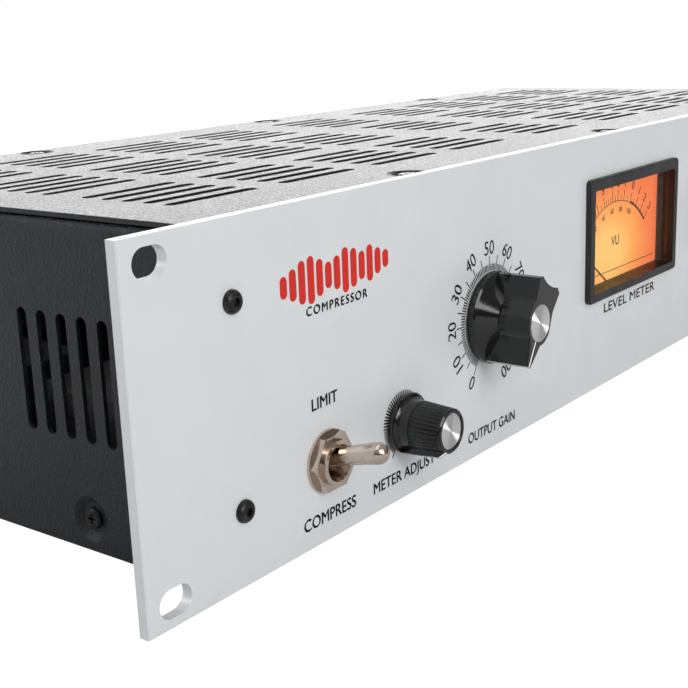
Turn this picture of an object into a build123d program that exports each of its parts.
from build123d import *
import math
import os

# A two-unit rack compressor.  X runs to the right along the front panel, Y into the case and Z up.
# The origin is the centre of the front panel's front face.  All lengths are in millimetres.

# Front panel, to the 19-inch rack pattern
panel_width = 482.6
panel_height = 88.1
panel_thickness = 3.0
panel_edge_chamfer = 0.3
rack_hole_margin = 8.75
rack_hole_rise = 76.2
rack_slot_length = 10.0
rack_slot_height = 7.0

# Sheet-metal case
ear_width = 25.3
case_depth = 173.2
case_top_drop = 1.15
case_bottom_lift = 0.05
sheet = 1.2
bend_radius = 2.6
edge_flange = 12.0
screw_tab = 16.0
tray_flange = 17.0
sheet_gap = 0.2

# Pressed screw recesses in the case
dimple_radius = 6.2
dimple_floor_radius = 4.0
dimple_depth = 1.4
side_dimple_rise = 8.7
side_dimple_inset = 43.5
cover_dimple_x = 124.5
cover_dimple_inset = 7.0

# Ventilation slots
vent_width = 3.6
vent_length = 32.4
vent_pitch = 7.5
vents_per_group = 5
vent_group_pitch = 45.5
vent_groups_deep = 3
cover_vent_start = 27.8
cover_vent_edge = 19.1
cover_vent_column_pitch = 42.3
cover_vent_columns = 4
side_vent_width = 3.7
side_vent_start = 32.9
side_vent_centre_z = 1.6

# Screws
screw_radius = 1.5
screw_clearance = 0.15
thread_clearance = 0.05
pan_head_radius = 2.8
pan_head_height = 1.3
pan_head_round = 0.78
pan_screw_length = 6.0
cross_recess_length = 2.8
cross_recess_width = 0.6
cross_recess_depth = 0.8
button_head_radius = 2.85
button_head_height = 1.65
button_head_round = 1.32
button_screw_length = 9.0
button_socket_radius = 1.15
button_socket_floor = 0.5775
case_screw_inset = 7.0
case_screw_z = 25.0
rear_floor_screw_x = 100.0
rear_floor_screw_rise = 8.0

# Control places on the front panel, stepping inwards from the case's side
toggle_inset = 38.6
toggle_z = -22.5
small_knob_step = 33.4
small_knob_z = -22.0
big_knob_step = 45.9
big_knob_z = -2.4
pilot_z = 18.0

# Control shafts, bushings and nuts
shaft_radius = 3.0
shaft_reach = 13.5
shaft_tail = 6.0
running_clearance = 0.05
bushing_clearance = 0.15
big_bushing_wall = 1.75
big_bushing_reach = 4.4
big_nut_wall = 1.6
big_nut_thickness = 2.2
big_can_radius = 12.0
big_can_depth = 11.0
small_bushing_wall = 0.5
small_bushing_reach = 3.2
small_nut_wall = 1.5
small_nut_thickness = 2.0
small_can_radius = 8.5
small_can_depth = 9.0
rotary_can_radius = 13.0
rotary_can_depth = 16.0
solder_tag_pitch = 5.0
solder_tag_width = 2.0
solder_tag_thickness = 1.0
solder_tag_reach = 4.0

# Knobs
big_knob_lift = 0.8
small_knob_lift = 1.6
knob_bore_clearance = 0.02
knob_bore_end_gap = 0.3
big_knob_rest_angle = -150.0
big_skirt_radius = 13.8
big_skirt_rim = 2.6
big_skirt_edge = 0.5
big_skirt_top_radius = 7.0
big_skirt_top = 6.9
big_knob_height = 17.0
big_cavity_room = 1.45
big_cavity_height = 5.0
big_cap_radius = 5.5
grip_edge_radius = 0.25
small_skirt_lip = 1.55
small_skirt_rim = 2.3
small_skirt_steps = 6
small_base_wall = 0.9
small_grip_taper = 0.75
small_front_round = 0.35
small_knob_height = 15.8
small_flutes = 36
small_flute_radius = 0.55
small_flute_sink = 0.3
small_flute_start = 6.0
small_flute_end = 14.9
small_cavity_room = 1.0
small_cavity_height = 3.8
small_fin_width = 1.5
small_fin_proud = 1.5
small_fin_bevel = 1.8
small_grip_wall = 1.1
selector_rest_angle = -40.0
cap_thickness = 0.7
big_cap_sink = -0.1
small_cap_sink = 0.4
cap_clearance = 0.05

# Toggle switches
toggle_bushing_radius = 5.95
toggle_bushing_reach = 4.0
toggle_mouth_radius = 4.8
toggle_neck_radius = 2.5
toggle_ball_radius = 2.3
toggle_chamber_radius = 3.4
toggle_chamber_depth = 7.0
toggle_neck_half = 1.2
toggle_pivot_y = 3.0
toggle_lean = 14.5
lever_root_radius = 2.05
lever_tip_radius = 2.8
lever_length = 22.4
lever_tail = 4.5
lever_tail_radius = 1.1
toggle_body_width = 17.5
toggle_body_height = 32.0
toggle_body_depth = 21.0
toggle_tag_pitch = 9.0
toggle_tag_width = 4.8
toggle_tag_thickness = 0.8
toggle_tag_length = 6.0
toggle_washer_rim = 2.35
toggle_washer_thickness = 0.8
toggle_nut_wall = 1.05
toggle_nut_thickness = 2.0

# Pilot light
pilot_bezel_radius = 7.2
pilot_bezel_proud = 2.2
pilot_barrel_radius = 5.9
pilot_barrel_depth = 14.0
pilot_jewel_radius = 4.9
pilot_jewel_seat = 5.0
pilot_dome_height = 2.4

# Level meter
meter_width = 72.0
meter_height = 42.0
meter_z = 9.0
meter_corner = 1.75
meter_proud = 2.0
meter_bezel_edge = 0.5
meter_barrel_wall = 0.9
meter_barrel_clearance = 0.2
window_side_border = 3.2
window_top_border = 3.8
window_bottom_border = 3.0
window_corner = 0.8
lens_thickness = 1.2
lens_setback = 2.3
lens_clearance = 0.1
meter_case_side_margin = 5.2
meter_case_bottom_margin = 13.0
meter_case_top_margin = 4.8
meter_case_depth = 28.0
meter_wall = 0.8
scale_plate_setback = 2.0
scale_plate_thickness = 0.6
needle_setback = 1.4
needle_thickness = 0.3
needle_width = 0.55
needle_length = 31.5
needle_pivot_drop = 6.3
needle_rest_angle = -55.0
needle_hub_radius = 2.5
needle_staff_radius = 0.5
needle_staff_depth = 5.0
staff_bore_depth = 6.0
staff_hole_gap = 0.4
movement_radius = 14.0
movement_rise = 8.8
movement_gap = 0.5
movement_depth = 18.0
meter_lamp_radius = 2.0
meter_lamp_length = 9.0
meter_lamp_x = 21.0
meter_lamp_setback = 6.0
strap_width = 12.0
strap_thickness = 1.2
strap_gap = 0.4
strap_foot = 9.0

# Inside the case
board_width = 230.0
board_depth = 112.0
board_thickness = 1.6
board_lift = 10.8
board_side_gap = 64.8
board_front = 30.0
board_corner_inset = 5.0
standoff_flats = 6.0
board_screw_radius = 1.25
board_screw_head_radius = 2.4
board_screw_head_height = 1.4
board_screw_length = 6.0
tube_radius = 10.5
tube_height = 46.0
tube_tip_root = 2.2
tube_tip_end = 0.8
tube_tip_height = 3.0
tube_socket_radius = 11.5
tube_socket_height = 8.0
tube_pitch = 32.0
tube_row_y = 75.0
tube_count = 4
tube_edge_gap = 4.0
opto_radius = 14.5
opto_height = 42.0
opto_corner = 1.5
opto_base_radius = 16.0
opto_base_height = 6.0
capacitor_radius = 9.0
capacitor_height = 32.0
capacitor_corner = 1.0
capacitor_gap = 4.0
capacitor_pitch = 24.0
capacitor_count = 3
toroid_radius = 38.0
toroid_bore_radius = 12.0
toroid_height = 34.0
toroid_corner = 8.0
toroid_side_gap = 31.8
toroid_inlet_gap = 6.0
toroid_dish_radius = 20.0
toroid_dish_thickness = 2.0
toroid_bolt_radius = 3.0
toroid_bolt_reach = 3.0
transformer_width = 32.0
transformer_depth = 38.0
transformer_height = 36.0
transformer_corner = 3.0
transformer_foot = 6.0
transformer_foot_step = 4.0
transformer_foot_thickness = 1.5
transformer_inset = 24.0
transformer_first_y = 58.0
transformer_second_y = 112.0

# Rear connectors
flange_thickness = 2.0
cutout_clearance = 0.2
xlr_flange_lip = 1.2
xlr_flange_foot = 3.7
xlr_flange_corner = 2.5
xlr_body_radius = 11.8
xlr_body_depth = 22.0
xlr_screw_inset = 3.5
xlr_inset = 38.0
xlr_step = 36.0
xlr_z = -4.0
xlr_female_bore = 9.55
xlr_female_depth = 13.0
xlr_insert_radius = 7.85
xlr_insert_setback = 0.4
xlr_pin_circle = 4.0
xlr_pin_radius = 1.2
xlr_pin_hole_radius = 1.35
xlr_pin_hole_depth = 12.0
xlr_male_bore = 8.05
xlr_male_depth = 12.5
xlr_pin_length = 8.0
xlr_pin_root = 1.0
latch_width = 7.2
latch_height = 2.8
latch_gap = 0.85
latch_clearance = 0.2
latch_proud = 2.4
latch_seat = 0.4
jack_bore = 3.25
jack_bushing_wall = 1.45
jack_nut_wall = 1.65
jack_bushing_reach = 4.6
jack_bore_depth = 30.0
jack_body_size = 16.0
jack_body_depth = 28.0
jack_step = 22.0
jack_gap = 30.0
jack_count = 3
inlet_inset = 52.0
inlet_z = -4.0
inlet_flange_height = 34.0
inlet_flange_corner = 3.0
inlet_wall = 1.65
inlet_body_height = 30.8
inlet_body_depth = 18.0
inlet_socket_width = 24.5
inlet_socket_height = 16.0
inlet_socket_rise = 6.0
inlet_socket_depth = 17.0
inlet_blade_width = 4.0
inlet_blade_thickness = 2.0
inlet_blade_length = 12.0
inlet_blade_pitch = 7.0
inlet_blade_drop = 1.0
inlet_earth_rise = 3.0
inlet_screw_gap = 6.1
inlet_screw_inset = 5.0
drawer_width = 21.6
drawer_height = 6.2
drawer_drop = 9.3
drawer_depth = 14.0
drawer_clearance = 0.2
drawer_face_side_lip = 1.2
drawer_face_lip = 0.8
drawer_face_thickness = 1.5
fuse_radius = 2.5
fuse_length = 18.0
fuse_wall = 2.0
selector_inset = 100.0
selector_z = -4.0
selector_flange_lip = 1.3
selector_flange_corner = 2.0
selector_side_wall = 2.5
selector_wall = 1.8
selector_body_depth = 12.0
selector_window_width = 13.0
selector_window_height = 6.8
selector_window_depth = 5.0
selector_slider_width = 6.0
selector_slider_clearance = 0.2
selector_slider_proud = 0.8
selector_groove_width = 1.0
selector_screw_inset = 3.5

# Places worked out from the sizes above
case_half = panel_width / 2 - ear_width
case_top = panel_height / 2 - case_top_drop
case_bottom = -panel_height / 2 + case_bottom_lift
case_front = panel_thickness
case_rear = case_front + case_depth
cover_under = case_top - sheet
flange_under = cover_under - sheet
side_inner = case_half - sheet
floor_top = case_bottom + sheet
rear_inner = case_rear - sheet
wall_back = case_front + sheet
big_bushing_radius = shaft_radius + big_bushing_wall
big_nut_flats = 2 * (big_bushing_radius + big_nut_wall)
big_cavity_radius = big_nut_flats / 2 + big_cavity_room
small_bushing_radius = shaft_radius + small_bushing_wall
small_nut_flats = 2 * (small_bushing_radius + small_nut_wall)
small_cavity_radius = small_nut_flats / 2 + small_cavity_room
big_cap_top = big_knob_height - big_cap_sink
small_cap_top = small_knob_height - small_cap_sink
small_base_radius = small_cavity_radius + small_base_wall
small_skirt_radius = small_base_radius + small_skirt_lip
small_grip_radius = small_base_radius - small_grip_taper
small_cap_radius = small_grip_radius - small_grip_wall
toggle_nut_flats = 2 * (toggle_bushing_radius + toggle_nut_wall)
inner_half = case_half - edge_flange - 1
case_screw_x = case_half - case_screw_inset
side_dimple_z = case_bottom + side_dimple_rise
side_dimple_places = (case_front + side_dimple_inset, case_rear - side_dimple_inset)
cover_dimple_columns = (-cover_dimple_x, 0, cover_dimple_x)
toggle_x = case_half - toggle_inset
small_knob_x = toggle_x - small_knob_step
big_knob_x = small_knob_x - big_knob_step
window_width = meter_width - 2 * window_side_border
window_height = meter_height - window_top_border - window_bottom_border
window_z = meter_z + (window_bottom_border - window_top_border) / 2
barrel_width = window_width + 2 * meter_barrel_wall
barrel_height = window_height + 2 * meter_barrel_wall
window_bottom = window_z - window_height / 2
meter_case_half = window_width / 2 + meter_case_side_margin
meter_case_bottom = window_bottom - meter_case_bottom_margin
meter_case_top = window_bottom + window_height + meter_case_top_margin
meter_case_back = wall_back + meter_case_depth
needle_pivot_z = window_bottom - needle_pivot_drop
movement_z = needle_pivot_z + movement_rise
needle_y = wall_back + needle_setback
scale_plate_y = wall_back + scale_plate_setback
movement_y = scale_plate_y + scale_plate_thickness + movement_gap
board_left = -side_inner + board_side_gap
board_bottom = floor_top + board_lift
board_top = board_bottom + board_thickness
toroid_x = side_inner - toroid_side_gap - toroid_radius
toroid_y = rear_inner - inlet_body_depth - toroid_inlet_gap - toroid_radius
xlr_in_x = -case_half + xlr_inset
xlr_out_x = xlr_in_x + xlr_step
jack_places = [xlr_out_x + jack_gap + jack_step * i for i in range(jack_count)]
inlet_x = case_half - inlet_inset
selector_x = case_half - selector_inset
flange_face = case_rear + flange_thickness
xlr_flange_width = 2 * (xlr_body_radius + xlr_flange_lip)
xlr_flange_height = 2 * (xlr_body_radius + xlr_flange_foot)
xlr_screw_x = xlr_flange_width / 2 - xlr_screw_inset
xlr_screw_z = xlr_flange_height / 2 - xlr_screw_inset
latch_rise = xlr_female_bore + latch_gap
jack_bushing_radius = jack_bore + jack_bushing_wall
jack_nut_flats = 2 * (jack_bushing_radius + jack_nut_wall)
inlet_body_width = inlet_socket_width + 2 * inlet_wall
inlet_screw_x = inlet_body_width / 2 + inlet_screw_gap
inlet_flange_width = 2 * (inlet_screw_x + inlet_screw_inset)
selector_body_width = selector_window_width + 2 * selector_side_wall
selector_body_height = selector_window_height + 2 * selector_wall
selector_screw_x = selector_body_width / 2 + selector_screw_inset
selector_flange_width = 2 * (selector_screw_x + selector_screw_inset)
selector_flange_height = selector_body_height + 2 * selector_flange_lip
xlr_pin_places = [(math.sin(math.radians(a)) * xlr_pin_circle, math.cos(math.radians(a)) * xlr_pin_circle)
                  for a in (-60, 60, 180)]


# Shared shapes

def block(x0, x1, y0, y1, z0, z1):
    centre = Pos((x0 + x1) / 2, (y0 + y1) / 2, (z0 + z1) / 2)
    return centre * Box(x1 - x0, y1 - y0, z1 - z0)


def centred_block(x, z, width, height, y0, y1):
    return block(x - width / 2, x + width / 2, y0, y1, z - height / 2, z + height / 2)


def rod(x, z, y0, y1, radius):
    return Pos(x, (y0 + y1) / 2, z) * (Rot(90, 0, 0) * Cylinder(radius, y1 - y0))


def post(x, y, z0, z1, radius):
    return Pos(x, y, (z0 + z1) / 2) * Cylinder(radius, z1 - z0)


def along_y(sketch, y0, y1):
    """A front view, drawn in X and Z, given thickness from y0 back to y1."""
    return extrude(Plane.XZ.offset(-y1) * sketch, y1 - y0)


def turned(points):
    """A solid of revolution about local Z from (radius, height) corners."""
    return revolve(Plane.XZ * make_face(Polyline(*points, close=True)), Axis.Z)


def front_seat(x, z, y=0):
    """A plane whose local Z points out of the front, with local X and Y as seen from there."""
    return Plane(origin=(x, y, z), x_dir=(1, 0, 0), z_dir=(0, -1, 0))


def hex_nut(x, z, y0, y1, flats, bore):
    outline = RegularPolygon(flats / 2, 6, major_radius=False) - Circle(bore)
    return along_y(Pos(x, z) * outline, y0, y1)


def both_sides(x):
    return (-x, x)


def pan_screw(length=pan_screw_length):
    """A cross-recessed pan-head screw, standing on local height 0."""
    head = Pos(0, 0, pan_head_height / 2) * Cylinder(pan_head_radius, pan_head_height)
    head = fillet(head.edges().sort_by(Axis.Z)[-1], pan_head_round)
    recess_height = pan_head_height - cross_recess_depth / 2
    for angle in (0, 90):
        bar = Box(cross_recess_length, cross_recess_width, cross_recess_depth)
        head -= Pos(0, 0, recess_height) * (Rot(0, 0, angle) * bar)
    return head + Pos(0, 0, -length / 2) * Cylinder(screw_radius, length)


def dish():
    """A pressed screw recess in a sheet whose outer face is at local height 0."""
    hole = screw_radius + screw_clearance
    outer = [(hole, -dimple_depth), (dimple_floor_radius, -dimple_depth), (dimple_radius, 0)]
    inner = [(radius, height - sheet) for radius, height in reversed(outer)]
    return turned(outer + inner)


def dimpled(part, origin, outward, layer=0):
    """Press a recess into the sheet that lies the given number of layers under origin."""
    seat = Plane(origin=origin, z_dir=outward)
    opening = Pos(0, 0, -sheet * (layer + 0.5)) * Cylinder(dimple_radius, sheet)
    return part - seat * opening + seat * (Pos(0, 0, -sheet * layer) * dish())


def screw_holes(places, y0, y1, radius):
    holes = Part()
    for x, z in places:
        holes += rod(x, z, y0, y1, radius)
    return holes


def case_screw_places():
    return [(x, z) for x in both_sides(case_screw_x) for z in (-case_screw_z, case_screw_z)]


def rear_floor_places():
    return [(x, case_bottom + rear_floor_screw_rise) for x in both_sides(rear_floor_screw_x)]


def cover_dimple_places():
    rows = (case_front + cover_dimple_inset, case_rear - cover_dimple_inset)
    return [(x, y, case_top) for x in cover_dimple_columns for y in rows]


def control_openings():
    """Every hole that the front panel and the wall behind it share, drawn from the front."""
    shared = Pos(0, window_z) * Rectangle(barrel_width + 2 * meter_barrel_clearance,
                                          barrel_height + 2 * meter_barrel_clearance)
    for side in (-1, 1):
        shared += Pos(side * big_knob_x, big_knob_z) * Circle(big_bushing_radius + bushing_clearance)
        shared += Pos(side * small_knob_x, small_knob_z) * Circle(small_bushing_radius + bushing_clearance)
        shared += Pos(side * toggle_x, toggle_z) * Circle(toggle_bushing_radius + bushing_clearance)
    shared += Pos(toggle_x, pilot_z) * Circle(pilot_barrel_radius + bushing_clearance)
    return shared


# Case

def faceplate():
    half_width = panel_width / 2
    half_height = panel_height / 2
    plate = block(-half_width, half_width, 0, panel_thickness, -half_height, half_height)
    plate = chamfer(plate.faces().sort_by(Axis.Y)[0].edges(), panel_edge_chamfer)
    holes = control_openings()
    for x in both_sides(panel_width / 2 - rack_hole_margin):
        for z in both_sides(rack_hole_rise / 2):
            holes += Pos(x, z) * SlotOverall(rack_slot_length, rack_slot_height)
    for x, z in case_screw_places():
        holes += Pos(x, z) * Circle(screw_radius + screw_clearance)
    return plate - along_y(holes, -1, panel_thickness + 1)


def faceplate_screws():
    head = Pos(0, 0, button_head_height / 2) * Cylinder(button_head_radius, button_head_height)
    head = fillet(head.edges().sort_by(Axis.Z)[-1], button_head_round)
    socket = extrude(RegularPolygon(button_socket_radius, 6), button_head_height)
    head -= Pos(0, 0, button_socket_floor) * socket
    screw = head + Pos(0, 0, -button_screw_length / 2) * Cylinder(screw_radius, button_screw_length)
    return [front_seat(x, z) * screw for x, z in case_screw_places()]


def front_subpanel():
    wall = block(-inner_half, inner_half, case_front, wall_back, case_bottom, cover_under)
    wall += block(-inner_half, inner_half, case_front, case_front + screw_tab, flange_under, cover_under)
    foot_rear = case_front + edge_flange
    wall += block(-inner_half, inner_half, case_front, foot_rear, floor_top, floor_top + sheet)
    wall -= along_y(control_openings(), case_front - 1, wall_back + 1)
    for x, y, z in cover_dimple_places():
        if y < case_rear / 2:
            wall = dimpled(wall, (x, y, z), (0, 0, 1), layer=1)
    return wall


def side_vents():
    slots = Part()
    slot = Rot(0, 90, 0) * extrude(SlotOverall(vent_length, side_vent_width), 4 * sheet)
    for group in range(vent_groups_deep):
        for i in range(vents_per_group):
            y = case_front + side_vent_start + vent_group_pitch * group + vent_pitch * i
            slots += Pos(case_half - 2 * sheet, y, side_vent_centre_z) * slot
    return slots


def right_side():
    wall = block(side_inner, case_half, case_front, rear_inner, case_bottom, cover_under)
    wall += block(case_half - edge_flange, case_half, case_front, rear_inner, flange_under, cover_under)
    top_bend = wall.edges().filter_by(Axis.Y).sort_by(lambda e: e.center().X + e.center().Z)[-1]
    wall = fillet(top_bend, bend_radius)
    for y0, y1 in ((case_front, wall_back), (rear_inner - sheet, rear_inner)):
        wall += block(case_half - edge_flange, side_inner, y0, y1, case_bottom, cover_under - bend_radius)
    holes = [place for place in case_screw_places() if place[0] > 0]
    wall -= screw_holes(holes, case_front - 1, rear_inner + 1, screw_radius + thread_clearance)
    wall -= side_vents()
    for y in side_dimple_places:
        wall = dimpled(wall, (case_half, y, side_dimple_z), (1, 0, 0))
    return wall


def left_side():
    return mirror(right_side(), Plane.YZ)


def bottom_tray():
    front = wall_back + sheet_gap
    rear = rear_inner - sheet - sheet_gap
    tray = block(-side_inner, side_inner, front, rear, case_bottom, floor_top)
    tray += block(-inner_half, inner_half, rear, rear_inner, case_bottom, floor_top)
    flange_top = case_bottom + tray_flange
    tray += block(-inner_half, inner_half, rear_inner - sheet, rear_inner, case_bottom, flange_top)
    for x0, x1 in ((-side_inner, -side_inner + sheet), (side_inner - sheet, side_inner)):
        tray += block(x0, x1, front, rear, case_bottom, flange_top)
    for side in (-1, 1):
        for y in side_dimple_places:
            tray = dimpled(tray, (side * case_half, y, side_dimple_z), (side, 0, 0), layer=1)
    hole = screw_radius + thread_clearance
    return tray - screw_holes(rear_floor_places(), rear - 1, case_rear, hole)


def rear_panel():
    wall = block(-case_half, case_half, rear_inner, case_rear, case_bottom, cover_under)
    wall += block(-inner_half, inner_half, case_rear - screw_tab, case_rear, flange_under, cover_under)
    cuts = Pos(inlet_x, inlet_z) * Rectangle(inlet_body_width + 2 * cutout_clearance,
                                             inlet_body_height + 2 * cutout_clearance)
    cuts += Pos(selector_x, selector_z) * Rectangle(selector_body_width + 2 * cutout_clearance,
                                                    selector_body_height + 2 * cutout_clearance)
    for x in (xlr_in_x, xlr_out_x):
        cuts += Pos(x, xlr_z) * Circle(xlr_body_radius + cutout_clearance)
    for x in jack_places:
        cuts += Pos(x, xlr_z) * Circle(jack_bushing_radius + cutout_clearance)
    for x, z in case_screw_places() + rear_floor_places() + connector_screw_places():
        cuts += Pos(x, z) * Circle(screw_radius + screw_clearance)
    wall -= along_y(cuts, rear_inner - 1, case_rear + 1)
    for x, y, z in cover_dimple_places():
        if y > case_rear / 2:
            wall = dimpled(wall, (x, y, z), (0, 0, 1), layer=1)
    return wall


def cover_vent_columns_x():
    left = [-case_half + cover_vent_edge + vent_length / 2 + cover_vent_column_pitch * i
            for i in range(cover_vent_columns)]
    return left + [0] + [-x for x in left]


def top_cover():
    plate = block(-case_half, case_half, case_front, case_rear, cover_under, case_top)
    slots = Sketch()
    for x in cover_vent_columns_x():
        for group in range(vent_groups_deep):
            for i in range(vents_per_group):
                y = case_front + cover_vent_start + vent_group_pitch * group + vent_pitch * i
                slots += Pos(x, y) * SlotOverall(vent_length, vent_width)
    plate -= Pos(0, 0, cover_under - sheet) * extrude(slots, 3 * sheet)
    for origin in cover_dimple_places():
        plate = dimpled(plate, origin, (0, 0, 1))
    return plate


def case_screws():
    screw = pan_screw()
    sunk = Pos(0, 0, -dimple_depth) * screw
    placed = [Plane(origin=place, z_dir=(0, 0, 1)) * sunk for place in cover_dimple_places()]
    for side in (-1, 1):
        for y in side_dimple_places:
            placed.append(Plane(origin=(side * case_half, y, side_dimple_z), z_dir=(side, 0, 0)) * sunk)
    for x, z in case_screw_places() + rear_floor_places():
        placed.append(Plane(origin=(x, case_rear, z), z_dir=(0, 1, 0)) * screw)
    return placed


# Level meter

def meter_outline(width, height, z, corner):
    return Pos(0, z) * RectangleRounded(width, height, corner)


def meter_bezel():
    window = meter_outline(window_width, window_height, window_z, window_corner)
    flange = meter_outline(meter_width, meter_height, meter_z, meter_corner) - window
    bezel = along_y(flange, -meter_proud, 0)
    bezel = fillet(bezel.faces().sort_by(Axis.Y)[0].outer_wire().edges(), meter_bezel_edge)
    barrel = Pos(0, window_z) * Rectangle(barrel_width, barrel_height) - window
    return bezel + along_y(barrel, 0, wall_back)


def meter_lens():
    width = window_width - 2 * lens_clearance
    height = window_height - 2 * lens_clearance
    front = -meter_proud + lens_setback
    return along_y(meter_outline(width, height, window_z, window_corner), front, front + lens_thickness)


def meter_case_section(shrink):
    half = meter_case_half - shrink
    return half, meter_case_bottom + shrink, meter_case_top - shrink


def meter_case():
    half, bottom, top = meter_case_section(0)
    case = block(-half, half, wall_back, meter_case_back, bottom, top)
    half, bottom, top = meter_case_section(meter_wall)
    case -= block(-half, half, wall_back + meter_wall, meter_case_back - meter_wall, bottom, top)
    window = meter_outline(window_width, window_height, window_z, window_corner)
    return case - along_y(window, wall_back - 1, wall_back + meter_wall)


def meter_scale_plate():
    half, bottom, top = meter_case_section(meter_wall + lens_clearance)
    plate = block(-half, half, scale_plate_y, scale_plate_y + scale_plate_thickness, bottom, top)
    hole = needle_staff_radius + staff_hole_gap
    return plate - rod(0, needle_pivot_z, scale_plate_y - 1, movement_y, hole)


def meter_movement():
    end = movement_y + movement_depth
    body = rod(0, movement_z, movement_y, end, movement_radius)
    body += rod(0, movement_z, end, meter_case_back - meter_wall, movement_radius / 2)
    staff_bore = needle_staff_radius + running_clearance
    return body - rod(0, needle_pivot_z, movement_y - 1, movement_y + staff_bore_depth, staff_bore)


def meter_needle():
    """Built pointing straight up from its pivot and then turned to its rest angle."""
    blade = Rectangle(needle_width, needle_length, align=(Align.CENTER, Align.MIN))
    blade += Circle(needle_hub_radius)
    needle = extrude(blade, needle_thickness)
    staff = movement_y + needle_staff_depth - needle_y
    needle += Pos(0, 0, -staff / 2) * Cylinder(needle_staff_radius, staff)
    return front_seat(0, needle_pivot_z, needle_y) * (Rot(0, 0, -needle_rest_angle) * needle)


def meter_lamps():
    y = movement_y + meter_lamp_setback
    z = meter_case_top - meter_wall - meter_lamp_radius - lens_clearance
    bulb = Rot(0, 90, 0) * Cylinder(meter_lamp_radius, meter_lamp_length)
    return [Pos(x, y, z) * bulb for x in both_sides(meter_lamp_x)]


def meter_strap():
    """A U-shaped strap that holds the meter case against the wall behind the front panel."""
    inner = meter_case_half + strap_gap
    outer = inner + strap_thickness
    middle = (meter_case_bottom + meter_case_top) / 2
    z0, z1 = middle - strap_width / 2, middle + strap_width / 2
    strap = block(-outer, outer, meter_case_back, meter_case_back + strap_thickness, z0, z1)
    for side in (-1, 1):
        x0, x1 = sorted((side * inner, side * outer))
        strap += block(x0, x1, wall_back, meter_case_back, z0, z1)
        x0, x1 = sorted((side * outer, side * (outer + strap_foot)))
        strap += block(x0, x1, wall_back, wall_back + strap_thickness, z0, z1)
    return strap


# Rotary controls

def big_grip_outline():
    """The bar grip seen from the front, its nose pointing to local +Y."""
    right = [(5.0, -12.6), (6.9, -11.5), (5.7, -5.2), (6.6, 0.5)]
    shoulder = (3.4, 6.0)
    nose = (1.0, 13.5)
    left = [(-x, y) for x, y in reversed(right)]
    outline = Polyline(*right) + Polyline(*left)
    outline += ThreePointArc(right[-1], (5.7, 3.7), shoulder)
    outline += ThreePointArc((-shoulder[0], shoulder[1]), (-5.7, 3.7), left[0])
    outline += Polyline(shoulder, nose, (-nose[0], nose[1]), (-shoulder[0], shoulder[1]))
    outline += ThreePointArc(left[-1], (0, -11.6), right[0])
    return make_face(outline)


def knob_bore():
    top = shaft_reach + knob_bore_end_gap
    return Pos(0, 0, top / 2) * Cylinder(shaft_radius + knob_bore_clearance, top)


def big_knob(x, angle):
    edge = big_skirt_radius - big_skirt_edge
    skirt = turned([(0, big_knob_lift), (big_skirt_radius, big_knob_lift),
                    (big_skirt_radius, big_skirt_rim), (edge, big_skirt_rim + big_skirt_edge),
                    (big_skirt_top_radius, big_skirt_top), (0, big_skirt_top)])
    grip = Pos(0, 0, big_skirt_rim) * extrude(big_grip_outline(), big_knob_height - big_skirt_rim)
    grip = fillet(grip.faces().sort_by(Axis.Z)[-1].edges(), grip_edge_radius)
    knob = skirt + grip - Pos(0, 0, big_cavity_height / 2) * Cylinder(big_cavity_radius, big_cavity_height)
    recess_depth = cap_thickness + big_cap_sink
    knob -= Pos(0, 0, big_knob_height) * Cylinder(big_cap_radius + cap_clearance, 2 * recess_depth)
    knob -= knob_bore()
    return front_seat(x, big_knob_z) * (Rot(0, 0, -angle) * knob)


def small_knob(x, angle):
    """A tapering fluted knob whose skirt blends into the grip in a hollow curve."""
    front_radius = small_grip_radius - small_front_round
    profile = [(0, small_knob_lift), (small_skirt_radius, small_knob_lift)]
    for step in range(small_skirt_steps + 1):
        turn = math.radians(90 * step / small_skirt_steps)
        profile.append((small_skirt_radius - small_skirt_lip * math.sin(turn),
                        small_skirt_rim + small_skirt_lip * (1 - math.cos(turn))))
    profile += [(small_grip_radius, small_knob_height - small_front_round),
                (front_radius, small_knob_height), (0, small_knob_height)]
    knob = turned(profile)
    taper_run = small_knob_height - small_front_round - small_skirt_rim - small_skirt_lip
    flute_middle = (small_flute_start + small_flute_end) / 2
    rise = (small_knob_height - small_front_round - flute_middle) / taper_run
    flute_circle = small_grip_radius + small_grip_taper * rise + small_flute_radius - small_flute_sink
    cutter = Rot(0, -math.degrees(math.atan2(small_grip_taper, taper_run)), 0) * Cylinder(
        small_flute_radius, small_flute_end - small_flute_start)
    knob -= Pos(0, 0, flute_middle) * PolarLocations(flute_circle, small_flutes) * cutter
    fin = Polygon((0, small_skirt_rim), (small_skirt_radius, small_skirt_rim),
                  (small_grip_radius + small_fin_proud, small_knob_height - small_fin_bevel),
                  (front_radius, small_knob_height), (0, small_knob_height), align=None)
    knob += extrude(Plane.YZ * fin, small_fin_width / 2, both=True)
    knob -= Pos(0, 0, small_cavity_height / 2) * Cylinder(small_cavity_radius, small_cavity_height)
    recess_depth = cap_thickness + small_cap_sink
    knob -= Pos(0, 0, small_knob_height) * Cylinder(small_cap_radius + cap_clearance, 2 * recess_depth)
    knob -= knob_bore()
    return front_seat(x, small_knob_z) * (Rot(0, 0, -angle) * knob)


def knob_cap(x, z, top, radius):
    return rod(x, z, -top, -top + cap_thickness, radius)


def shaft(x, z):
    return rod(x, z, -shaft_reach, wall_back + shaft_tail, shaft_radius)


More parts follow.
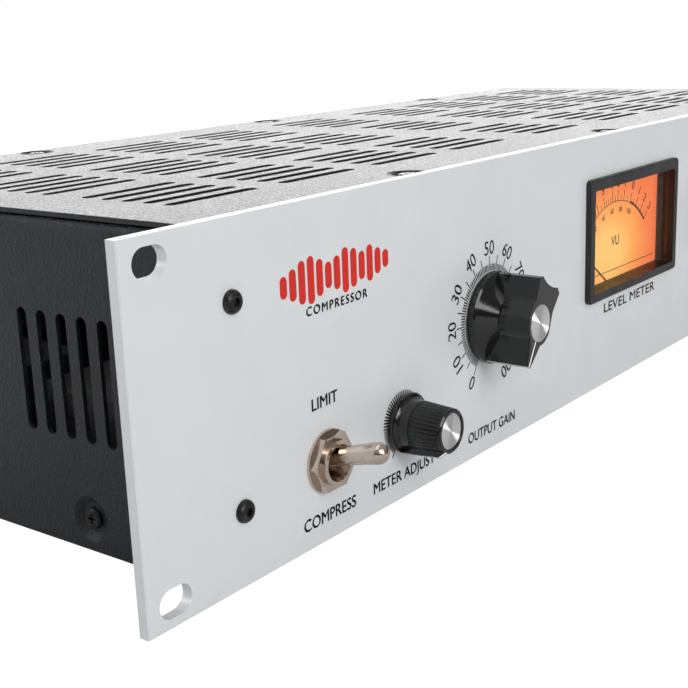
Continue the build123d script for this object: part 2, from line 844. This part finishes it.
def rotary_control(x, z, bushing_radius, reach, can_radius, can_depth):
    """A potentiometer or rotary switch: its can, threaded bushing and solder tags."""
    can = rod(x, z, wall_back, wall_back + can_depth, can_radius)
    can += rod(x, z, -reach, wall_back, bushing_radius)
    tag_y = wall_back + can_depth / 2
    tag_length = can_radius + solder_tag_reach
    for offset in (-solder_tag_pitch, 0, solder_tag_pitch):
        can += centred_block(x + offset, z - tag_length / 2, solder_tag_width, tag_length,
                             tag_y, tag_y + solder_tag_thickness)
    bore_end = wall_back + shaft_tail + knob_bore_end_gap
    return can - rod(x, z, -reach - 1, bore_end, shaft_radius + running_clearance)


def bushing_nuts():
    nuts = []
    for side in (-1, 1):
        nuts.append(hex_nut(side * big_knob_x, big_knob_z, -big_nut_thickness, 0, big_nut_flats,
                            big_bushing_radius + thread_clearance))
        nuts.append(hex_nut(side * small_knob_x, small_knob_z, -small_nut_thickness, 0, small_nut_flats,
                            small_bushing_radius + thread_clearance))
    for x in jack_places:
        nuts.append(hex_nut(x, xlr_z, case_rear, case_rear + big_nut_thickness, jack_nut_flats,
                            jack_bushing_radius + thread_clearance))
    return nuts


# Toggle switches and pilot light

def toggle_switch(x):
    half_width = toggle_body_width / 2
    half_height = toggle_body_height / 2
    body_back = wall_back + toggle_body_depth
    switch = block(x - half_width, x + half_width, wall_back, body_back,
                   toggle_z - half_height, toggle_z + half_height)
    switch += rod(x, toggle_z, -toggle_bushing_reach, wall_back, toggle_bushing_radius)
    mouth = toggle_bushing_reach + toggle_pivot_y
    neck = toggle_neck_half
    passage = turned([(0, mouth), (toggle_mouth_radius, mouth), (toggle_neck_radius, neck),
                      (toggle_neck_radius, -neck), (toggle_chamber_radius, -neck - 1),
                      (toggle_chamber_radius, -toggle_chamber_depth), (0, -toggle_chamber_depth)])
    switch -= front_seat(x, toggle_z, toggle_pivot_y) * passage
    for offset in (-toggle_tag_pitch, 0, toggle_tag_pitch):
        switch += centred_block(x, toggle_z + offset, toggle_tag_width, toggle_tag_thickness,
                                body_back, body_back + toggle_tag_length)
    return switch


def toggle_lever(x):
    """A bat lever on its pivot ball, leaning up from the panel's normal at rest."""
    bat_height = lever_length - lever_tip_radius
    lever = Pos(0, 0, bat_height / 2) * Cone(lever_root_radius, lever_tip_radius, bat_height)
    lever += Pos(0, 0, bat_height) * Sphere(lever_tip_radius)
    lever += Sphere(toggle_ball_radius)
    lever += Pos(0, 0, -lever_tail / 2) * Cylinder(lever_tail_radius, lever_tail)
    return front_seat(x, toggle_z, toggle_pivot_y) * (Rot(-toggle_lean, 0, 0) * lever)


def toggle_washers():
    ring = Circle(toggle_bushing_radius + toggle_washer_rim)
    ring -= Circle(toggle_bushing_radius + thread_clearance)
    return [along_y(Pos(x, toggle_z) * ring, -toggle_washer_thickness, 0) for x in both_sides(toggle_x)]


def toggle_nuts():
    back = -toggle_washer_thickness
    front = back - toggle_nut_thickness
    bore = toggle_bushing_radius + thread_clearance
    return [hex_nut(x, toggle_z, front, back, toggle_nut_flats, bore) for x in both_sides(toggle_x)]


def pilot_bezel():
    ring = turned([(0, 0), (pilot_bezel_radius, 0), (pilot_bezel_radius, pilot_bezel_proud * 0.5),
                   (pilot_barrel_radius, pilot_bezel_proud), (0, pilot_bezel_proud)])
    holder = front_seat(toggle_x, pilot_z) * ring
    holder += rod(toggle_x, pilot_z, 0, pilot_barrel_depth, pilot_barrel_radius)
    bore = pilot_jewel_radius + running_clearance
    return holder - rod(toggle_x, pilot_z, -pilot_bezel_proud - 1, pilot_jewel_seat, bore)


def pilot_jewel():
    """A domed lens, turned about its own axis from its seat to the top of the dome."""
    rim = (pilot_jewel_radius, pilot_bezel_proud)
    foot = (0, -pilot_jewel_seat)
    top = (0, pilot_bezel_proud + pilot_dome_height)
    sides = Polyline(top, foot, (pilot_jewel_radius, -pilot_jewel_seat), rim)
    dome = (pilot_jewel_radius ** 2 + pilot_dome_height ** 2) / (2 * pilot_dome_height)
    half_way = pilot_jewel_radius / 2
    bulge = (half_way, top[1] - dome + math.sqrt(dome ** 2 - half_way ** 2))
    section = make_face(sides + ThreePointArc(rim, bulge, top))
    return front_seat(toggle_x, pilot_z) * revolve(Plane.XZ * section, Axis.Z)


# Inside the case

def board_corners():
    xs = (board_left + board_corner_inset, board_left + board_width - board_corner_inset)
    ys = (board_front + board_corner_inset, board_front + board_depth - board_corner_inset)
    return [(x, y) for x in xs for y in ys]


def main_board():
    board = block(board_left, board_left + board_width, board_front, board_front + board_depth,
                  board_bottom, board_top)
    for x, y in board_corners():
        board -= post(x, y, board_bottom - 1, board_top + 1, board_screw_radius + screw_clearance)
    return board


def board_standoffs():
    pillar = extrude(RegularPolygon(standoff_flats / 2, 6, major_radius=False), board_lift)
    thread = board_screw_radius + thread_clearance
    pillars = []
    for x, y in board_corners():
        hole = post(x, y, board_bottom - board_screw_length, board_bottom + 1, thread)
        pillars.append(Pos(x, y, floor_top) * pillar - hole)
    return pillars


def board_screws():
    screws = []
    for x, y in board_corners():
        head = post(x, y, board_top, board_top + board_screw_head_height, board_screw_head_radius)
        shank_end = board_top - board_screw_length
        screws.append(head + post(x, y, shank_end, board_top, board_screw_radius))
    return screws


def tube_places():
    first = board_left + tube_pitch / 2 + tube_edge_gap
    return [(first + tube_pitch * i, tube_row_y) for i in range(tube_count)]


def tube_sockets():
    top = board_top + tube_socket_height
    return [post(x, y, board_top, top, tube_socket_radius) for x, y in tube_places()]


def vacuum_tubes():
    base = board_top + tube_socket_height
    straight = tube_height - tube_radius
    outline = [(0, 0), (tube_radius, 0), (tube_radius, straight)]
    envelope = turned(outline + [(0, straight)]) + Pos(0, 0, straight) * Sphere(tube_radius)
    envelope += Pos(0, 0, tube_height) * Cone(tube_tip_root, tube_tip_end, tube_tip_height)
    return [Pos(x, y, base) * envelope for x, y in tube_places()]


def opto_place():
    return tube_places()[-1][0] + tube_pitch + opto_base_radius / 2, tube_row_y


def opto_cell():
    x, y = opto_place()
    base_top = board_top + opto_base_height
    can = post(x, y, base_top, base_top + opto_height, opto_radius)
    can = fillet(can.edges().sort_by(Axis.Z)[-1], opto_corner)
    return can + post(x, y, board_top, base_top, opto_base_radius)


def filter_capacitors():
    x, y = opto_place()
    first = x + opto_base_radius + capacitor_radius + capacitor_gap
    can = post(0, 0, 0, capacitor_height, capacitor_radius)
    can = fillet(can.edges().sort_by(Axis.Z)[-1], capacitor_corner)
    return [Pos(first, y + capacitor_pitch * (i - 1), board_top) * can for i in range(capacitor_count)]


def power_transformer():
    centre = Pos(toroid_x, toroid_y, floor_top)
    half = (toroid_radius + toroid_bore_radius) / 2
    winding = RectangleRounded(toroid_radius - toroid_bore_radius, toroid_height, toroid_corner)
    ring = revolve(Plane.XZ * (Pos(half, toroid_height / 2) * winding), Axis.Z)
    dish_plate = Pos(0, 0, toroid_height) * extrude(Circle(toroid_dish_radius), toroid_dish_thickness)
    bolt_top = toroid_height + toroid_dish_thickness + toroid_bolt_reach
    bolt = Pos(0, 0, bolt_top / 2) * Cylinder(toroid_bolt_radius, bolt_top)
    return [centre * ring, centre * (dish_plate + bolt)]


def audio_transformer(y):
    x = -side_inner + transformer_inset
    half_width = transformer_width / 2
    half_depth = transformer_depth / 2
    can = block(x - half_width, x + half_width, y - half_depth, y + half_depth,
                floor_top, floor_top + transformer_height)
    can = fillet(can.edges().filter_by(Axis.Z), transformer_corner)
    reach = half_depth + transformer_foot
    foot_half = half_width - transformer_foot_step
    foot_top = floor_top + transformer_foot_thickness
    return can + block(x - foot_half, x + foot_half, y - reach, y + reach, floor_top, foot_top)


def audio_transformers():
    return [audio_transformer(y) for y in (transformer_first_y, transformer_second_y)]


# Rear connectors

def xlr_shell(x):
    flange = Pos(x, xlr_z) * RectangleRounded(xlr_flange_width, xlr_flange_height, xlr_flange_corner)
    shell = along_y(flange, case_rear, flange_face)
    shell += rod(x, xlr_z, rear_inner - xlr_body_depth, case_rear, xlr_body_radius)
    holes = [place for place in xlr_screw_places() if abs(place[0] - x) < xlr_flange_width]
    return shell - screw_holes(holes, case_rear - 1, flange_face + 1, screw_radius + screw_clearance)


def xlr_screw_places():
    places = []
    for x in (xlr_in_x, xlr_out_x):
        places.append((x - xlr_screw_x, xlr_z + xlr_screw_z))
        places.append((x + xlr_screw_x, xlr_z - xlr_screw_z))
    return places


def inlet_screw_places():
    return [(inlet_x - inlet_screw_x, inlet_z), (inlet_x + inlet_screw_x, inlet_z)]


def selector_screw_places():
    return [(selector_x - selector_screw_x, selector_z), (selector_x + selector_screw_x, selector_z)]


def connector_screw_places():
    return xlr_screw_places() + inlet_screw_places() + selector_screw_places()


def xlr_input():
    """The socket's shell, and the core with three holes that stands in it."""
    shell = xlr_shell(xlr_in_x)
    floor = flange_face - xlr_female_depth
    shell -= rod(xlr_in_x, xlr_z, floor, flange_face + 1, xlr_female_bore)
    half = latch_width / 2 + latch_clearance
    shell -= block(xlr_in_x - half, xlr_in_x + half, case_rear, flange_face + 1,
                   xlr_z + latch_rise - latch_clearance,
                   xlr_z + latch_rise + latch_height + latch_clearance)
    core = rod(xlr_in_x, xlr_z, floor, flange_face - xlr_insert_setback, xlr_insert_radius)
    for dx, dz in xlr_pin_places:
        core -= rod(xlr_in_x + dx, xlr_z + dz, flange_face - xlr_pin_hole_depth, flange_face + 1,
                    xlr_pin_hole_radius)
    return [shell, core]


def xlr_latch():
    half = latch_width / 2
    return block(xlr_in_x - half, xlr_in_x + half, flange_face - latch_seat, flange_face + latch_proud,
                 xlr_z + latch_rise, xlr_z + latch_rise + latch_height)


def xlr_output():
    """The plug side: an open cup with three pins standing in it."""
    shell = xlr_shell(xlr_out_x)
    floor = flange_face - xlr_male_depth
    shell -= rod(xlr_out_x, xlr_z, floor, flange_face + 1, xlr_male_bore)
    for dx, dz in xlr_pin_places:
        shell += rod(xlr_out_x + dx, xlr_z + dz, floor - xlr_pin_root, floor + xlr_pin_length,
                     xlr_pin_radius)
    return shell


def trs_jacks():
    mouth = case_rear + jack_bushing_reach
    jacks = []
    for x in jack_places:
        jack = centred_block(x, xlr_z, jack_body_size, jack_body_size,
                             rear_inner - jack_body_depth, rear_inner)
        jack += rod(x, xlr_z, rear_inner, mouth, jack_bushing_radius)
        jacks.append(jack - rod(x, xlr_z, mouth - jack_bore_depth, mouth + 1, jack_bore))
    return jacks


def power_inlet():
    flange = RectangleRounded(inlet_flange_width, inlet_flange_height, inlet_flange_corner)
    inlet = along_y(Pos(inlet_x, inlet_z) * flange, case_rear, flange_face)
    body_front = rear_inner - inlet_body_depth
    inlet += centred_block(inlet_x, inlet_z, inlet_body_width, inlet_body_height, body_front, case_rear)
    socket_z = inlet_z + inlet_socket_rise
    floor = flange_face - inlet_socket_depth
    mouth = flange_face + 1
    inlet -= centred_block(inlet_x, socket_z, inlet_socket_width, inlet_socket_height, floor, mouth)
    outer_blades = [(x, -inlet_blade_drop) for x in both_sides(inlet_blade_pitch)]
    for dx, dz in outer_blades + [(0, inlet_earth_rise)]:
        inlet += centred_block(inlet_x + dx, socket_z + dz, inlet_blade_thickness, inlet_blade_width,
                               floor - 1, floor + inlet_blade_length)
    slot_width = drawer_width + 2 * drawer_clearance
    slot_height = drawer_height + 2 * drawer_clearance
    slot_floor = flange_face - drawer_depth - drawer_clearance
    inlet -= centred_block(inlet_x, inlet_z - drawer_drop, slot_width, slot_height, slot_floor, mouth)
    return inlet - screw_holes(inlet_screw_places(), case_rear - 1, flange_face + 1,
                               screw_radius + screw_clearance)


def fuse_drawer():
    z = inlet_z - drawer_drop
    face = flange_face + drawer_clearance
    drawer = centred_block(inlet_x, z, drawer_width, drawer_height, flange_face - drawer_depth, face)
    drawer += centred_block(inlet_x, z, drawer_width + 2 * drawer_face_side_lip,
                            drawer_height + 2 * drawer_face_lip, face, face + drawer_face_thickness)
    fuse_y = flange_face - drawer_depth + fuse_radius + fuse_wall
    pocket = fuse_radius + running_clearance
    pocket_length = fuse_length + 2 * drawer_clearance
    bed = Pos(inlet_x, fuse_y, z) * (Rot(0, 90, 0) * Cylinder(pocket, pocket_length))
    bed += centred_block(inlet_x, z + drawer_height / 2, pocket_length, drawer_height,
                         fuse_y - pocket, fuse_y + pocket)
    fuse = Pos(inlet_x, fuse_y, z) * (Rot(0, 90, 0) * Cylinder(fuse_radius, fuse_length))
    return [drawer - bed, fuse]


def voltage_selector():
    flange = RectangleRounded(selector_flange_width, selector_flange_height, selector_flange_corner)
    body = along_y(Pos(selector_x, selector_z) * flange, case_rear, flange_face)
    body += centred_block(selector_x, selector_z, selector_body_width, selector_body_height,
                          rear_inner - selector_body_depth, case_rear)
    body -= centred_block(selector_x, selector_z, selector_window_width, selector_window_height,
                          flange_face - selector_window_depth, flange_face + 1)
    return body - screw_holes(selector_screw_places(), case_rear - 1, flange_face + 1,
                              screw_radius + screw_clearance)


def voltage_slider():
    gap = selector_slider_clearance
    x = selector_x - (selector_window_width - selector_slider_width) / 2 + gap
    floor = flange_face - selector_window_depth + gap
    height = selector_window_height - 2 * gap
    slider = centred_block(x, selector_z, selector_slider_width, height, floor,
                           flange_face + selector_slider_proud)
    groove_rear = flange_face + selector_slider_proud + 1
    return slider - centred_block(x, selector_z, selector_groove_width, height + 1,
                                  flange_face, groove_rear)


def connector_screws():
    screw = pan_screw()
    return [Plane(origin=(x, flange_face, z), z_dir=(0, 1, 0)) * screw for x, z in connector_screw_places()]


pieces = {
    "faceplate": faceplate,
    "faceplate_screws": faceplate_screws,
    "front_subpanel": front_subpanel,
    "left_side": left_side,
    "right_side": right_side,
    "bottom_tray": bottom_tray,
    "rear_panel": rear_panel,
    "top_cover": top_cover,
    "case_screws": case_screws,
    "meter_bezel": meter_bezel,
    "meter_lens": meter_lens,
    "meter_case": meter_case,
    "meter_scale_plate": meter_scale_plate,
    "meter_movement": meter_movement,
    "meter_needle": meter_needle,
    "meter_lamps": meter_lamps,
    "meter_strap": meter_strap,
    "output_gain_knob": lambda: big_knob(-big_knob_x, big_knob_rest_angle),
    "output_gain_cap": lambda: knob_cap(-big_knob_x, big_knob_z, big_cap_top, big_cap_radius),
    "output_gain_shaft": lambda: shaft(-big_knob_x, big_knob_z),
    "output_gain_pot": lambda: rotary_control(-big_knob_x, big_knob_z, big_bushing_radius,
                                              big_bushing_reach, big_can_radius, big_can_depth),
    "peak_reduction_knob": lambda: big_knob(big_knob_x, big_knob_rest_angle),
    "peak_reduction_cap": lambda: knob_cap(big_knob_x, big_knob_z, big_cap_top, big_cap_radius),
    "peak_reduction_shaft": lambda: shaft(big_knob_x, big_knob_z),
    "peak_reduction_pot": lambda: rotary_control(big_knob_x, big_knob_z, big_bushing_radius,
                                                 big_bushing_reach, big_can_radius, big_can_depth),
    "meter_adjust_knob": lambda: small_knob(-small_knob_x, big_knob_rest_angle),
    "meter_adjust_cap": lambda: knob_cap(-small_knob_x, small_knob_z, small_cap_top, small_cap_radius),
    "meter_adjust_shaft": lambda: shaft(-small_knob_x, small_knob_z),
    "meter_adjust_pot": lambda: rotary_control(-small_knob_x, small_knob_z, small_bushing_radius,
                                               small_bushing_reach, small_can_radius, small_can_depth),
    "meter_select_knob": lambda: small_knob(small_knob_x, selector_rest_angle),
    "meter_select_cap": lambda: knob_cap(small_knob_x, small_knob_z, small_cap_top, small_cap_radius),
    "meter_select_shaft": lambda: shaft(small_knob_x, small_knob_z),
    "meter_select_switch": lambda: rotary_control(small_knob_x, small_knob_z, small_bushing_radius,
                                                  small_bushing_reach, rotary_can_radius, rotary_can_depth),
    "bushing_nuts": bushing_nuts,
    "mode_switch": lambda: toggle_switch(-toggle_x),
    "mode_lever": lambda: toggle_lever(-toggle_x),
    "power_switch": lambda: toggle_switch(toggle_x),
    "power_lever": lambda: toggle_lever(toggle_x),
    "toggle_washers": toggle_washers,
    "toggle_nuts": toggle_nuts,
    "pilot_bezel": pilot_bezel,
    "pilot_jewel": pilot_jewel,
    "main_board": main_board,
    "board_standoffs": board_standoffs,
    "board_screws": board_screws,
    "tube_sockets": tube_sockets,
    "vacuum_tubes": vacuum_tubes,
    "opto_cell": opto_cell,
    "filter_capacitors": filter_capacitors,
    "power_transformer": power_transformer,
    "audio_transformers": audio_transformers,
    "xlr_input": xlr_input,
    "xlr_latch": xlr_latch,
    "xlr_output": xlr_output,
    "trs_jacks": trs_jacks,
    "power_inlet": power_inlet,
    "fuse_drawer": fuse_drawer,
    "voltage_selector": voltage_selector,
    "voltage_slider": voltage_slider,
    "connector_screws": connector_screws,
}

os.makedirs("parts", exist_ok=True)
for name, make in pieces.items():
    shape = make()
    solids = shape if isinstance(shape, list) else [shape]
    export_step(Compound(children=solids), f"parts/{name}.step")
    print(name, len(solids))
